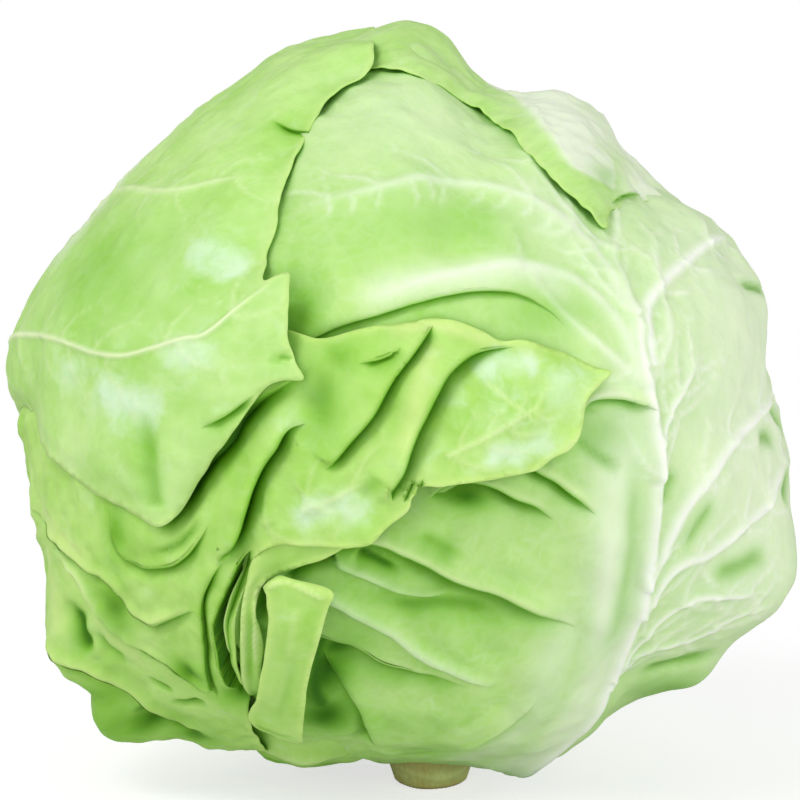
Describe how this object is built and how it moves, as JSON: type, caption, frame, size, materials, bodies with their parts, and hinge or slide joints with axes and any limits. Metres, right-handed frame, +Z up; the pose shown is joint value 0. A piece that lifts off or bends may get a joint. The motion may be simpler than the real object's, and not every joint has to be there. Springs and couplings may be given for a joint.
{
  "type": "white cabbage",
  "caption": "Round white cabbage head of overlapping leaves with crumpled folds at the front, standing on its cut stalk.",
  "frame": {"origin": "the middle of the stalk's cut face, on which the head stands", "axes": "+Z up along the stalk; -Y to the front, where the crumpled folds are; +X to the right seen from the front"},
  "size_m": [0.1941, 0.1881, 0.1947],
  "materials": {
    "green_leaf": "satin",
    "pale_leaf": "satin",
    "heart": "satin",
    "stalk": "matte"
  },
  "bodies": {
    "root": {"stalk": "stalk", "heart": "heart", "inner_leaf_right": "pale_leaf", "inner_leaf_left": "pale_leaf", "inner_leaf_front": "pale_leaf", "inner_leaf_back": "pale_leaf", "under_leaf": "green_leaf", "rear_leaf": "green_leaf", "right_leaf": "pale_leaf", "front_leaf": "green_leaf", "folded_leaf": "green_leaf", "left_leaf": "green_leaf", "crown_leaf": "green_leaf"}
  },
  "joints": []
}
